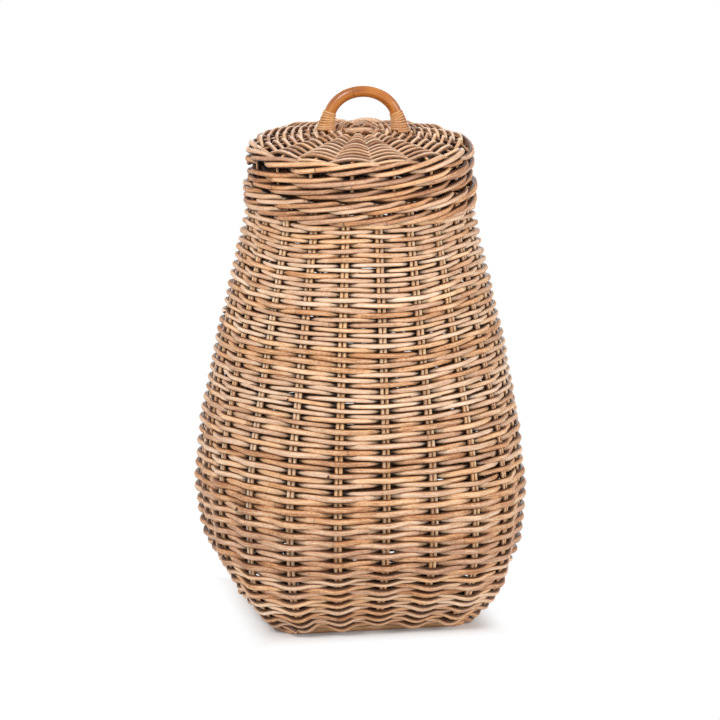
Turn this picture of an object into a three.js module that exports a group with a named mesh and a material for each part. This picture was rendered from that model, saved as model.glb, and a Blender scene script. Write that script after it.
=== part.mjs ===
// A pear-shaped laundry hamper woven from round rattan, with a lift-off lid and a bent cane handle.
// Millimetres, +Z up, standing on z = 0. The square base lies along X and Y.
// The uprights of a wall are called stakes and those of the lid rods. Every strand runs in and out of them.

import * as THREE from 'three';

// Clearances
const gap = 0.3; // air between two pieces that touch
const weaveEase = 0.6; // extra air where a strand bends round an upright
const buttGap = 4; // air between the cut ends of strands laid end to end
const rowGap = 1.3; // air between one turn of a strand and the next
const lidPlay = 2.5; // how far the lid's hoop stays inside the mouth, on the radius

// Base
const baseHalf = 122; // half the side of the square frame
const baseCorner = 22;
const frameWidth = 15;
const frameHeight = 12;
const frameEdge = 2.5; // rounding of the frame's long edges
const ribCount = 5;
const ribDiameter = 5;
const basePassCount = 12; // lengths of the strand that fills the base
const baseStrandWidth = 9;
const baseStrandThickness = 3;

// Wall: heights from the floor, half-widths of its middle line, and the share of that taken by round corners
const bellyHeight = 168; // where the wall is widest
const bellyHalf = 200;
const neckHeight = 526; // where the thin strands end and the thick rim starts
const rimRadius = 138.5;
const wallFoot = { height: frameHeight + gap, half: baseHalf - frameWidth / 2, roundness: 0.18 };
const belly = { height: bellyHeight, half: bellyHalf, roundness: 0.85 };
const neck = { height: neckHeight, half: rimRadius, roundness: 1 };
const wallKnots = [
  wallFoot,
  knotBetween(wallFoot, belly, 0.02, 0.15, 0.24),
  knotBetween(wallFoot, belly, 0.06, 0.3, 0.33),
  knotBetween(wallFoot, belly, 0.12, 0.4, 0.4),
  knotBetween(wallFoot, belly, 0.28, 0.59, 0.46),
  knotBetween(wallFoot, belly, 0.58, 0.9, 0.78),
  belly,
  knotBetween(belly, neck, 0.23, 0.09, 0.9),
  knotBetween(belly, neck, 0.49, 0.32, 1),
  neck,
];
const stakeCount = 21; // odd, so that one strand wound round and round changes sides at every turn
const stakeTurn = 0.71; // where the first stake stands, in stake spacings from +X
const stakeRod = 4.6; // each stake is two rods of this diameter, side by side
const wallTurns = 44; // turns of the wall's strand, each as high as two rows of the real weave
const wallStrandCount = 8; // lengths that the strand comes in
const wallStrandThickness = 5;
const weaveStart = 18.5; // height of the first turn

// Thick strands at the rim and round the lid's edge
const thickStrand = 9.2;
const thickRow = 9.6; // from one thick row to the next
const rimRows = 4;
const rimFront = 2; // stakes that a rim strand passes in front of before it goes behind one
const lidRows = 5;
const lidFront = 3;

// Lid
const lidTurn = THREE.MathUtils.degToRad(-3.4); // how the lid happens to be put on
const rodCount = 4; // long rods in each of the two sets that cross at the middle
const rodDiameter = 6;
const lidShoulder = 15; // bend of the rods from the top into the edge
const lidRise = 12; // crown of the top above the shoulder
const lidWeaveInner = 43; // the thin strands stop at this radius
const crossingRadius = 23; // inside it the rods run side by side
const lidStrandWidth = 5.4;
const lidStrandThickness = 4.4;
const hoopThickness = 7;
const hoopDrop = 8; // how far the hoop reaches down into the mouth
const hoopHeight = 24;

// Handle and its lashings
const handleTurn = THREE.MathUtils.degToRad(-6.6); // how the handle stands on the lid's rods
const handleDiameter = 15;
const handleSpan = 89; // between the middles of the feet
const handleShift = 3.8; // how far off the lid's middle it is lashed on
const handleRise = 41.5; // middle of the cane, from the top of the legs to the top of the arch
const handleLeg = 7;
const lashCane = 2.8;
const lashTurns = 5;
const lashPitch = 4.8;

const up = new THREE.Vector3(0, 0, 1);

// Sweeping strands

// A strand's middle line with the direction that its outer face looks in at each point. Its first end is
// cut square to the line unless another direction is given.
class StrandPath extends THREE.Curve {
  constructor(points, outwards, startDirection = null) {
    super();
    this.points = points;
    this.outwards = outwards;
    this.startDirection = startDirection;
  }

  getPoint(t, target = new THREE.Vector3()) {
    const place = t * (this.points.length - 1);
    const before = Math.min(Math.floor(place), this.points.length - 2);
    return target.lerpVectors(this.points[before], this.points[before + 1], place - before);
  }

  getSpacedPoints() {
    return this.points;
  }

  computeFrenetFrames() {
    const last = this.points.length - 1;
    const tangents = [];
    const normals = [];
    const binormals = [];
    for (let i = 0; i <= last; i++) {
      const ahead = this.points[Math.min(i + 1, last)];
      const behind = this.points[Math.max(i - 1, 0)];
      const tangent = ahead.clone().sub(behind).normalize();
      if (i === 0 && this.startDirection) tangent.copy(this.startDirection);
      const normal = this.outwards[i].clone().projectOnPlane(tangent).normalize();
      tangents.push(tangent);
      normals.push(normal);
      binormals.push(tangent.clone().cross(normal));
    }
    return { tangents, normals, binormals };
  }
}

function sweep(section, path) {
  return new THREE.ExtrudeGeometry(section, { steps: path.points.length - 1, extrudePath: path });
}

// Sections are drawn with x towards the strand's outer face
function roundSection(diameter, sides, firstAngle = 0) {
  const corners = [];
  for (let i = 0; i < sides; i++) {
    const angle = firstAngle + (i / sides) * 2 * Math.PI;
    corners.push(new THREE.Vector2(Math.cos(angle), Math.sin(angle)).multiplyScalar(diameter / 2));
  }
  return new THREE.Shape(corners);
}

// A strand with a flat back and a ridge along its outer face
function ridgeSection(thickness, width) {
  return new THREE.Shape([
    new THREE.Vector2(thickness / 2, 0),
    new THREE.Vector2(-thickness / 2, width / 2),
    new THREE.Vector2(-thickness / 2, -width / 2),
  ]);
}

// Two rods side by side, grown together at a narrow waist
function twinSection(rod) {
  const radius = rod / 2;
  const waist = radius * 0.4;
  return new THREE.Shape([
    new THREE.Vector2(0, -rod),
    new THREE.Vector2(radius, -radius),
    new THREE.Vector2(waist, 0),
    new THREE.Vector2(radius, radius),
    new THREE.Vector2(0, rod),
    new THREE.Vector2(-radius, radius),
    new THREE.Vector2(-waist, 0),
    new THREE.Vector2(-radius, -radius),
  ]);
}

// Wall surface

function knotBetween(low, high, climb, spread, roundness) {
  const height = THREE.MathUtils.lerp(low.height, high.height, climb);
  const half = THREE.MathUtils.lerp(low.half, high.half, spread);
  return { height, half, roundness };
}

const rimTop = neckHeight + (rimRows - 1) * thickRow + thickStrand + rowGap;
wallKnots.push({ height: rimTop - gap, half: rimRadius, roundness: 1 });

// A point on a rounded square walked at an even pace, from the middle of the +X side
function squarePoint(share, half, corner) {
  const flat = half - corner;
  const arc = (corner * Math.PI) / 2;
  const quarters = 4 * (share - Math.floor(share));
  const side = Math.floor(quarters);
  const along = (quarters - side) * (2 * flat + arc);
  const point = new THREE.Vector3();
  if (along < flat) {
    point.set(half, along, 0);
  } else if (along < flat + arc) {
    const angle = (along - flat) / corner;
    point.set(flat + corner * Math.cos(angle), flat + corner * Math.sin(angle), 0);
  } else {
    point.set(2 * flat + arc - along, half, 0);
  }
  return point.applyAxisAngle(up, (side * Math.PI) / 2);
}

// The wall's middle surface, straight between its knots so that stakes and strands lie on the same lines
const wall = {
  count: stakeCount,
  point(stake, height) {
    const share = (stake + stakeTurn) / stakeCount;
    let above = wallKnots.findIndex((knot) => knot.height >= height);
    above = above < 0 ? wallKnots.length - 1 : Math.max(above, 1);
    const [low, high] = wallKnots.slice(above - 1, above + 1);
    const [from, to] = [low, high].map((knot) =>
      squarePoint(share, knot.half, knot.half * knot.roundness).setZ(knot.height),
    );
    return from.lerp(to, (height - low.height) / (high.height - low.height));
  },
};

// Lid surface: a turned line from the lower edge, up, round the shoulder and in to the middle

const thickHalf = (thickStrand / 2) * Math.cos(Math.PI / 6); // from a thick strand's middle to its flat face
const lidSeat = rimTop + gap;
const lidEdge = (lidRows - 1) * thickRow + thickStrand;
const rodHalf = (rodDiameter / 2) * Math.cos(Math.PI / 6);
const lidRadius = rimRadius - lidPlay;
const shoulderLow = lidSeat + lidEdge - lidShoulder;
const shoulderEnd = lidRadius - lidShoulder;
const crownHeight = shoulderLow + lidShoulder + lidRise;

function crownAt(radius) {
  return crownHeight - lidRise * (radius / shoulderEnd) ** 2;
}

const lidLine = [new THREE.Vector2(lidRadius, lidSeat + rowGap)];
for (const degrees of [0, 40, 80]) {
  const angle = THREE.MathUtils.degToRad(degrees);
  lidLine.push(new THREE.Vector2(shoulderEnd, shoulderLow).add(
    new THREE.Vector2(Math.cos(angle), Math.sin(angle)).multiplyScalar(lidShoulder),
  ));
}
for (const radius of [(shoulderEnd + lidWeaveInner) / 2, lidWeaveInner, crossingRadius]) {
  lidLine.push(new THREE.Vector2(radius, crownAt(radius)));
}
const lidReaches = lidLine.map((_, i) =>
  lidLine.slice(1, i + 1).reduce((sum, point, j) => sum + point.distanceTo(lidLine[j]), 0),
);

const lid = {
  count: 4 * rodCount,
  point(spoke, reach) {
    let above = lidReaches.findIndex((end) => end >= reach);
    above = above < 0 ? lidLine.length - 1 : Math.max(above, 1);
    const share = (reach - lidReaches[above - 1]) / (lidReaches[above] - lidReaches[above - 1]);
    const place = lidLine[above - 1].clone().lerp(lidLine[above], share);
    const angle = ((spoke + 0.5) / (4 * rodCount)) * 2 * Math.PI;
    return new THREE.Vector3(place.x, 0, place.y).applyAxisAngle(up, angle);
  },
};

function outwardAt(surface, upright, place, spread) {
  const around = surface.point(upright + 0.02, place).sub(surface.point(upright - 0.02, place));
  const upward = surface.point(upright, place + spread).sub(surface.point(upright, place - spread));
  return around.cross(upward).normalize();
}

// Weaving

// How far a strand stands off the middle surface at an upright, so that it clears the upright on its way
// to the next one. The reach is the least distance, and the lobe the half-width of the upright's high part.
function standOff(surface, upright, place, outward, reach, lobe) {
  const here = surface.point(upright, place);
  const needs = [1, -1].map((step) => {
    const chord = surface.point(upright + step, place).sub(here);
    const fall = -chord.dot(outward);
    const along = Math.sqrt(chord.lengthSq() - fall * fall);
    return (reach + lobe * Math.max(fall / along, 0)) / (1 - (2 * lobe) / along);
  });
  return Math.max(...needs);
}

// The path of a strand from one upright to a later one. placeOf gives its row at each upright, isFront the
// side it passes on, and cuts the points for each step from upright to upright.
function weave(surface, first, last, { placeOf, isFront, reach, lobe, spread, cuts = 1, trim = buttGap / 2 }) {
  const points = [];
  const outwards = [];
  for (let mark = first * cuts; mark <= last * cuts; mark++) {
    const upright = mark / cuts;
    const place = placeOf(upright);
    const outward = outwardAt(surface, upright, place, spread);
    const sides = [Math.floor(upright), Math.ceil(upright)].map((near) => (isFront(near) ? 1 : -1));
    const side = (sides[0] + sides[1]) / 2;
    const offset = side * standOff(surface, upright, place, outward, reach, lobe);
    points.push(surface.point(upright, place).addScaledVector(outward, offset));
    outwards.push(outward);
  }
  const end = points.length - 1;
  points[0].lerp(points[1], trim / points[0].distanceTo(points[1]));
  points[end].lerp(points[end - 1], trim / points[end].distanceTo(points[end - 1]));
  return new StrandPath(points, outwards);
}

// The object

const hamper = new THREE.Group();
const lidGroup = new THREE.Group();
lidGroup.rotation.z = lidTurn;
hamper.add(lidGroup);

function addPiece(group, name, geometry, color, roughness = 0.62) {
  const piece = new THREE.Mesh(geometry, new THREE.MeshStandardMaterial({ color, roughness, metalness: 0 }));
  piece.name = name;
  group.add(piece);
}

const strandColor = '#b98a5e';
const stakeColor = '#8f6340';
const thickColor = '#c79a72';
const frameColor = '#a9794c';
const handleColor = '#c8843f';
const lashColor = '#d9b27c';

// Base frame: a square hoop of pole with rounded corners and edges

function squareOutline(Kind, half, corner) {
  const outline = new Kind();
  const inner = half - corner;
  for (let side = 0; side < 4; side++) {
    const middle = new THREE.Vector2(inner, inner).rotateAround(new THREE.Vector2(), (side * Math.PI) / 2);
    outline.absarc(middle.x, middle.y, corner, (side * Math.PI) / 2, ((side + 1) * Math.PI) / 2);
  }
  return outline.closePath();
}

const frameShape = squareOutline(THREE.Shape, baseHalf, baseCorner);
frameShape.holes.push(squareOutline(THREE.Path, baseHalf - frameWidth, baseCorner - frameWidth));
const frameGeometry = new THREE.ExtrudeGeometry(frameShape, {
  depth: frameHeight - 2 * frameEdge,
  curveSegments: 3,
  bevelThickness: frameEdge,
  bevelSize: frameEdge,
  bevelOffset: -frameEdge,
  bevelSegments: 1,
});
frameGeometry.translate(0, 0, frameEdge);
addPiece(hamper, 'base_frame', frameGeometry, frameColor);

// Base ribs from side to side, and one strand laid to and fro across them

const frameInner = baseHalf - frameWidth;
const baseMiddle = frameHeight / 2 + 1;
const ribSpacing = (2 * frameInner) / (ribCount + 1);
const ribAt = (rib) => (rib - (ribCount - 1) / 2) * ribSpacing;
for (let rib = 0; rib < ribCount; rib++) {
  const ends = [-1, 1].map((side) => new THREE.Vector3(side * (frameInner - gap), ribAt(rib), baseMiddle));
  const path = new StrandPath(ends, [up, up]);
  addPiece(hamper, `base_rib_${rib + 1}`, sweep(roundSection(ribDiameter, 6, Math.PI / 6), path), stakeColor);
}

const baseRibHalf = (ribDiameter / 2) * Math.cos(Math.PI / 6);
const baseReach = baseRibHalf + gap + weaveEase + baseStrandThickness / 2;
const basePass = (2 * frameInner - buttGap) / basePassCount;
const basePoints = [];
for (let pass = 0; pass < basePassCount; pass++) {
  const x = (pass - (basePassCount - 1) / 2) * basePass;
  const direction = pass % 2 ? -1 : 1;
  const turnBack = frameInner - buttGap - baseStrandWidth / 2;
  basePoints.push(new THREE.Vector3(x, -direction * turnBack, baseMiddle));
  for (let crossing = 0; crossing < ribCount; crossing++) {
    const rib = direction > 0 ? crossing : ribCount - 1 - crossing;
    const side = (rib + pass) % 2 ? -1 : 1;
    basePoints.push(new THREE.Vector3(x, ribAt(rib), baseMiddle + side * baseReach));
  }
  basePoints.push(new THREE.Vector3(x, direction * turnBack, baseMiddle));
}
const basePath = new StrandPath(basePoints, basePoints.map(() => up));
addPiece(hamper, 'base_weaver', sweep(ridgeSection(baseStrandThickness, baseStrandWidth), basePath), strandColor);

// Stakes, standing on the frame and running up to the rim

const stakeName = (stake) => `stake_${String(stake + 1).padStart(2, '0')}`;
for (let stake = 0; stake < stakeCount; stake++) {
  const points = wallKnots.map((knot) => wall.point(stake, knot.height));
  const outwards = wallKnots.map((knot) => outwardAt(wall, stake, knot.height, 1));
  const path = new StrandPath(points, outwards, up);
  addPiece(hamper, stakeName(stake), sweep(twinSection(stakeRod), path), stakeColor);
}

// The wall's strand climbs by an even step, measured up the corner or the middle of a side, whichever is less

const climbs = [0];
const climbHeights = [weaveStart];
const climbStep = 2;
const weaveEnd = neckHeight - (3 / 4) * thickRow;
for (let height = weaveStart; height < weaveEnd; height += climbStep) {
  const corner = stakeCount / 8 - stakeTurn;
  const rises = [corner, corner + stakeCount / 8].map((stake) =>
    wall.point(stake, height + climbStep).distanceTo(wall.point(stake, height)),
  );
  climbs.push(climbs.at(-1) + Math.min(...rises));
  climbHeights.push(height + climbStep);
}
const heightAfter = new THREE.LinearInterpolant(climbs, climbHeights, 1);
const wallRow = climbs.at(-1) / wallTurns;
const wallStrandWidth = wallRow - rowGap;
const wallSection = ridgeSection(wallStrandThickness, wallStrandWidth);
const crossings = wallTurns * stakeCount;
for (let length = 0; length < wallStrandCount; length++) {
  const [first, last] = [length, length + 1].map((end) => Math.round((end * crossings) / wallStrandCount));
  const path = weave(wall, first, last, {
    placeOf: (stake) => heightAfter.evaluate((stake / stakeCount) * wallRow)[0],
    isFront: (stake) => stake % 2 === 0,
    reach: stakeRod / 2 + gap + weaveEase + wallStrandThickness / 2,
    lobe: stakeRod / 2,
    spread: wallStrandWidth / 2,
  });
  addPiece(hamper, `wall_weaver_${length + 1}`, sweep(wallSection, path), strandColor);
}

// Rim: thick strands one above the other, each behind every third stake

const thickSection = roundSection(thickStrand, 6, Math.PI / 6);
for (let row = 0; row < rimRows; row++) {
  const path = weave(wall, row, row + stakeCount, {
    placeOf: () => neckHeight + rowGap + thickStrand / 2 + row * thickRow,
    isFront: (stake) => (stake - row) % (rimFront + 1) !== 0,
    reach: stakeRod / 2 + gap + weaveEase + thickHalf,
    lobe: stakeRod / 2,
    spread: 1,
  });
  addPiece(hamper, `rim_wale_${row + 1}`, sweep(thickSection, path), thickColor);
}

// Lid rods: two sets of long rods that cross at the middle, fan out and turn down into the edge

const rodSection = roundSection(rodDiameter, 6, Math.PI / 6);
const rodSide = rodDiameter + gap;
const crossingLift = rodHalf + gap;
const lidTopPaths = []; // what the handle and its lashings stand on
for (const [set, setName] of ['across', 'along'].entries()) {
  for (let rod = 0; rod < rodCount; rod++) {
    const fan = rod - rodCount / 2;
    const nearEnd = fan + set * rodCount;
    const farEnd = 2 * rodCount - 1 - fan + set * rodCount;
    const level = set === 0 ? crossingLift : -crossingLift;
    const points = [];
    const outwards = [];
    for (const spoke of [nearEnd, farEnd]) {
      const leg = lidReaches.map((reach) => lid.point(spoke, reach));
      leg.at(-1).z += level;
      const faces = lidReaches.map((reach) => outwardAt(lid, spoke, reach, 1));
      if (spoke === farEnd) {
        const middle = new THREE.Vector3(0, (fan + 0.5) * rodSide, crownHeight + level);
        points.push(middle.applyAxisAngle(up, (set * Math.PI) / 2));
        outwards.push(up);
        leg.reverse();
        faces.reverse();
      }
      points.push(...leg);
      outwards.push(...faces);
    }
    const path = new StrandPath(points, outwards);
    lidTopPaths.push({ path, half: rodDiameter / 2 });
    addPiece(lidGroup, `lid_rod_${setName}_${rod + 1}`, sweep(rodSection, path), stakeColor);
  }
}

// Lid edge: thick strands from the lower edge round the shoulder

let hoopSeat = lidRadius; // radius of the lowest strand's innermost face, which the hoop lies against
for (let row = 0; row < lidRows; row++) {
  const path = weave(lid, row, row + lid.count, {
    placeOf: () => thickStrand / 2 - rowGap + row * thickRow,
    isFront: (spoke) => (spoke - row) % (lidFront + 1) !== 0,
    reach: rodHalf + gap + weaveEase + thickHalf,
    lobe: rodDiameter / 4,
    spread: thickStrand / 2,
    cuts: 2,
  });
  if (row === 0) hoopSeat = Math.min(...path.points.map((point) => Math.hypot(point.x, point.y))) - thickHalf;
  addPiece(lidGroup, `lid_edge_wale_${row + 1}`, sweep(thickSection, path), thickColor);
}

// Lid top: two thin strands that chase each other inwards, one over the even rods and one over the odd

const lidRow = lidStrandWidth + rowGap;
const lidWeaveStart = (lidRows - 1) * thickRow + thickStrand + rowGap + lidStrandWidth / 2;
const lidWeaveEnd = lidReaches.at(-2) - lidStrandWidth / 2;
const lidTurns = Math.floor((lidWeaveEnd - lidWeaveStart) / (2 * lidRow));
const lidReach = rodHalf + gap + weaveEase + lidStrandThickness / 2;
for (const [strand, name] of ['lid_weaver_even', 'lid_weaver_odd'].entries()) {
  const path = weave(lid, 0, lidTurns * lid.count, {
    placeOf: (spoke) => lidWeaveStart + (strand + (2 * spoke) / lid.count) * lidRow,
    isFront: (spoke) => spoke % 2 === strand,
    reach: lidReach,
    lobe: rodDiameter / 4,
    spread: lidStrandWidth / 2,
  });
  lidTopPaths.push({ path, half: lidStrandThickness / 2 });
  addPiece(lidGroup, name, sweep(ridgeSection(lidStrandThickness, lidStrandWidth), path), strandColor);
}

// Hoop inside the lid's edge that drops into the mouth

const hoopOuter = hoopSeat - gap;
const hoopLow = lidSeat - hoopDrop;
const hoopLine = [
  [hoopOuter - hoopThickness, hoopLow],
  [hoopOuter - hoopThickness / 2, hoopLow],
  [hoopOuter, lidSeat],
  [hoopOuter, hoopLow + hoopHeight],
  [hoopOuter - hoopThickness, hoopLow + hoopHeight],
  [hoopOuter - hoopThickness, hoopLow],
].map(([radius, height]) => new THREE.Vector2(radius, height));
const hoopGeometry = new THREE.LatheGeometry(hoopLine, 40);
hoopGeometry.rotateX(Math.PI / 2);
addPiece(lidGroup, 'lid_locating_hoop', hoopGeometry, frameColor);

// Handle: a bent cane whose two legs stand on the lid's weave

const handleGroup = new THREE.Group();
handleGroup.rotation.z = handleTurn;
handleGroup.position.set(handleShift, 0, 0).applyAxisAngle(up, handleTurn);
lidGroup.add(handleGroup);
const footRadius = handleSpan / 2;
const feet = [1, -1].map((side) =>
  new THREE.Vector3(handleShift + side * footRadius, 0, 0).applyAxisAngle(up, handleTurn),
);

// Height of the highest strand or rod within a distance of the middle of either foot
function highestUnder(reach) {
  let highest = crownAt(footRadius);
  for (const { path, half } of lidTopPaths) {
    const ridge = path.points.map((point, i) => point.clone().addScaledVector(path.outwards[i], half));
    for (let i = 0; i + 1 < ridge.length; i++) {
      for (let part = 0; part < 1; part += 0.02) {
        const place = ridge[i].clone().lerp(ridge[i + 1], part);
        const aside = feet.map((foot) => Math.hypot(place.x - foot.x, place.y - foot.y));
        if (Math.min(...aside) < reach) highest = Math.max(highest, place.z);
      }
    }
  }
  return highest;
}

const footLow = highestUnder(handleDiameter / 2 + gap) + gap;
const legTop = footLow + handleLeg;
const arch = new THREE.CurvePath();
arch.add(new THREE.LineCurve3(new THREE.Vector3(footRadius, 0, footLow), new THREE.Vector3(footRadius, 0, legTop)));
const archBow = new THREE.CatmullRomCurve3(
  Array.from({ length: 13 }, (_, i) => {
    const angle = (i / 12) * Math.PI;
    return new THREE.Vector3(footRadius * Math.cos(angle), 0, legTop + handleRise * Math.sin(angle));
  }),
);
arch.add(archBow);
arch.add(new THREE.LineCurve3(new THREE.Vector3(-footRadius, 0, legTop), new THREE.Vector3(-footRadius, 0, footLow)));

const handleSteps = 22;
const handlePoints = Array.from({ length: handleSteps + 1 }, (_, i) => arch.getPointAt(i / handleSteps));
const handleSides = handlePoints.map(() => new THREE.Vector3(0, 1, 0));
const handlePath = new StrandPath(handlePoints, handleSides);
addPiece(handleGroup, 'lid_handle', sweep(roundSection(handleDiameter, 10), handlePath), handleColor, 0.35);

// Lashings: a thin cane wound round the foot of each leg

const lashSteps = 12;
const archLength = arch.getLength();
const lashRadius = handleDiameter / 2 + gap + lashCane / 2;
const lashLow = Math.max(footLow, highestUnder(lashRadius + lashCane / 2 + gap));
const lashStart = lashLow - footLow + lashCane / 2 + gap;

function lashing(side) {
  const points = [];
  const outwards = [];
  for (let i = 0; i <= lashTurns * lashSteps; i++) {
    const turn = i / lashSteps;
    const travel = (lashStart + turn * lashPitch) / archLength;
    const share = side > 0 ? travel : 1 - travel;
    const forward = arch.getTangentAt(share);
    const across = forward.clone().cross(new THREE.Vector3(0, 1, 0));
    const outward = new THREE.Vector3(0, Math.cos(turn * 2 * Math.PI), 0);
    outward.addScaledVector(across, side * Math.sin(turn * 2 * Math.PI));
    points.push(arch.getPointAt(share).addScaledVector(outward, lashRadius));
    outwards.push(outward);
  }
  for (const [end, next] of [[0, 1], [points.length - 1, points.length - 2]]) {
    const tail = points[end].clone().sub(points[next]).projectOnPlane(outwards[end]).setLength(lashCane);
    const place = end === 0 ? 0 : points.length;
    points.splice(place, 0, points[end].clone().add(tail));
    outwards.splice(place, 0, outwards[end]);
  }
  return new StrandPath(points, outwards);
}

function leastSelfGap(points, thickness, apart) {
  let least = Infinity;
  for (let i = 0; i < points.length; i++) {
    for (let j = i + apart; j < points.length; j++) {
      least = Math.min(least, points[i].distanceTo(points[j]) - thickness);
    }
  }
  return least;
}

for (const [name, side] of [['handle_lashing_right', 1], ['handle_lashing_left', -1]]) {
  const path = lashing(side);
  const least = leastSelfGap(path.points, lashCane, lashSteps / 2);
  console.log(`${name}: least gap to itself ${least.toFixed(2)} mm`);
  addPiece(handleGroup, name, sweep(roundSection(lashCane, 5), path), lashColor, 0.5);
}

export default hamper;
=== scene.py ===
import math
import bpy
import numpy as np
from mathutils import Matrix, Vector


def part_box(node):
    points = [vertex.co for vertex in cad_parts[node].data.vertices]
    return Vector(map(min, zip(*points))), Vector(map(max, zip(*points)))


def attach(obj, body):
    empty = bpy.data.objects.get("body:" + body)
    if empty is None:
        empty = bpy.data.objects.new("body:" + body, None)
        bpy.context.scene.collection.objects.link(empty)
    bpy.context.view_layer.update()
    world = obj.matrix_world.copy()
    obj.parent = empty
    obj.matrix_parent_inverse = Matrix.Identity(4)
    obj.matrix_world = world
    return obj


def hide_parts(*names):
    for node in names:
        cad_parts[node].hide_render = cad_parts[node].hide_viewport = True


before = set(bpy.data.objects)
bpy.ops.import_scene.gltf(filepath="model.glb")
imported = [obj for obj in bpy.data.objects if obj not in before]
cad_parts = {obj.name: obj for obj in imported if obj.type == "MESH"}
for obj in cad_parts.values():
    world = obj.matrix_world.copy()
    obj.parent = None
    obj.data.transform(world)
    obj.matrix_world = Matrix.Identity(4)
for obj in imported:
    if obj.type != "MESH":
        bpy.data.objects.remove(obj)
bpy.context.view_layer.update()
scene = bpy.context.scene
print("frame loaded,", len(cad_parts), "solids")

# where the photo was taken from: degrees and metres, the lens and its sensor in millimetres
photoView = dict(azimuth=-10.38, pitch=14.04, tilt=0.206, distance=7.54, height=0.300,
                 lens=292.7, sensor=36, farthest=60)


def photoCamera():
    yaw, pitch = math.radians(photoView["azimuth"]), math.radians(photoView["pitch"])
    away = photoView["distance"] * math.cos(pitch)
    data = bpy.data.cameras.new("photoCamera")
    data.lens = photoView["lens"]
    data.sensor_width = photoView["sensor"]
    data.clip_end = photoView["farthest"]
    camera = bpy.data.objects.new("photoCamera", data)
    camera.location = (away * math.sin(yaw), -away * math.cos(yaw),
                       photoView["height"] + photoView["distance"] * math.sin(pitch))
    camera.rotation_euler = (math.radians(90 - photoView["pitch"] + photoView["tilt"]), 0, yaw)
    scene.collection.objects.link(camera)
    scene.camera = camera


photoCamera()


# an operator on wires adds a Math node, whichever side the wire is on
def bothWays(operation):
    def forward(wire, other):
        return wire.look.add("ShaderNodeMath", {"operation": operation}, {0: wire, 1: other})

    def reflected(wire, other):
        return wire.look.add("ShaderNodeMath", {"operation": operation}, {0: other, 1: wire})

    return forward, reflected


# a wire is a socket that can stand in a sum
class Wire:
    def __init__(self, look, socket):
        self.look = look
        self.socket = socket

    __add__, __radd__ = bothWays("ADD")
    __sub__, __rsub__ = bothWays("SUBTRACT")
    __mul__, __rmul__ = bothWays("MULTIPLY")
    __truediv__, __rtruediv__ = bothWays("DIVIDE")
    __mod__, __rmod__ = bothWays("FLOORED_MODULO")

    def __abs__(self):
        return self.look.add("ShaderNodeMath", {"operation": "ABSOLUTE"}, {0: self})


# the nodes of a material or of the world
class Look:
    def __init__(self, owner, shader="Principled BSDF", output="Material Output"):
        owner.use_nodes = True
        self.owner = owner
        self.tree = owner.node_tree
        self.shader = self.tree.nodes[shader]
        self.output = self.tree.nodes[output]

    # any node: its type, its settings, the values or wires of its sockets, and the output to hand back
    def add(self, kind, settings=None, sockets=None, out=0):
        node = self.tree.nodes.new(kind)
        for key, value in (settings or {}).items():
            if key == "stops":
                self.setStops(node.color_ramp, value)
            else:
                setattr(node, key, value)
        self.join(node, sockets or {})
        if isinstance(out, tuple):
            return [Wire(self, node.outputs[name]) for name in out]
        return Wire(self, node.outputs[out])

    def setStops(self, ramp, stops):
        while len(ramp.elements) < len(stops):
            ramp.elements.new(1)
        for stop, (place, colour) in zip(ramp.elements, stops):
            stop.position, stop.color = place, colour

    def join(self, node, sockets):
        for key, value in sockets.items():
            if isinstance(value, Wire):
                self.tree.links.new(value.socket, node.inputs[key])
            else:
                node.inputs[key].default_value = value

    def smooth(self, value, low, high, first=0.0, last=1.0):
        return self.add("ShaderNodeMapRange", {"interpolation_type": "SMOOTHSTEP"},
                        {0: value, 1: low, 2: high, 3: first, 4: last})

    def mix(self, share, first, second, how="MIX"):
        return self.add("ShaderNodeMix", {"data_type": "RGBA", "blend_type": how},
                        {0: share, 6: first, 7: second}, out=2)

    def noise(self, x, y, z, detail=2.0, rough=0.5):
        place = self.add("ShaderNodeCombineXYZ", {}, {0: x, 1: y, 2: z})
        return self.add("ShaderNodeTexNoise", {},
                        {"Vector": place, "Scale": 1.0, "Detail": detail, "Roughness": rough})

    def ramp(self, level, places, colours):
        stops = [(place, paint(*colour)) for place, colour in zip(places, colours)]
        return self.add("ShaderNodeValToRGB", {"stops": stops}, {0: level})

    # metres along a strand, and turns round it: 0 and 1 on its hidden inner side, 0.5 on its outer side
    def strandMap(self):
        place = self.add("ShaderNodeUVMap", {"uv_map": "strand"})
        return self.add("ShaderNodeSeparateXYZ", {}, {0: place}, out=(0, 1))

    # what the camera sees, straight or in gloss or glass, turns to the other shader as far as the share says
    def seenAs(self, other, share=1.0):
        seen, glossy, through = self.add(
            "ShaderNodeLightPath", out=("Is Camera Ray", "Is Glossy Ray", "Is Transmission Ray"))
        blend = self.add("ShaderNodeMixShader", {}, {
            0: (seen + glossy + through) * share, 1: Wire(self, self.shader.outputs[0]), 2: other})
        self.join(self.output, {0: blend})


def paint(red, green, blue):  # a colour as it shows on screen, 0 to 255
    def level(value):
        value /= 255
        return value / 12.92 if value < 0.04045 else ((value + 0.055) / 1.055) ** 2.4
    return (level(red), level(green), level(blue), 1)


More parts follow.
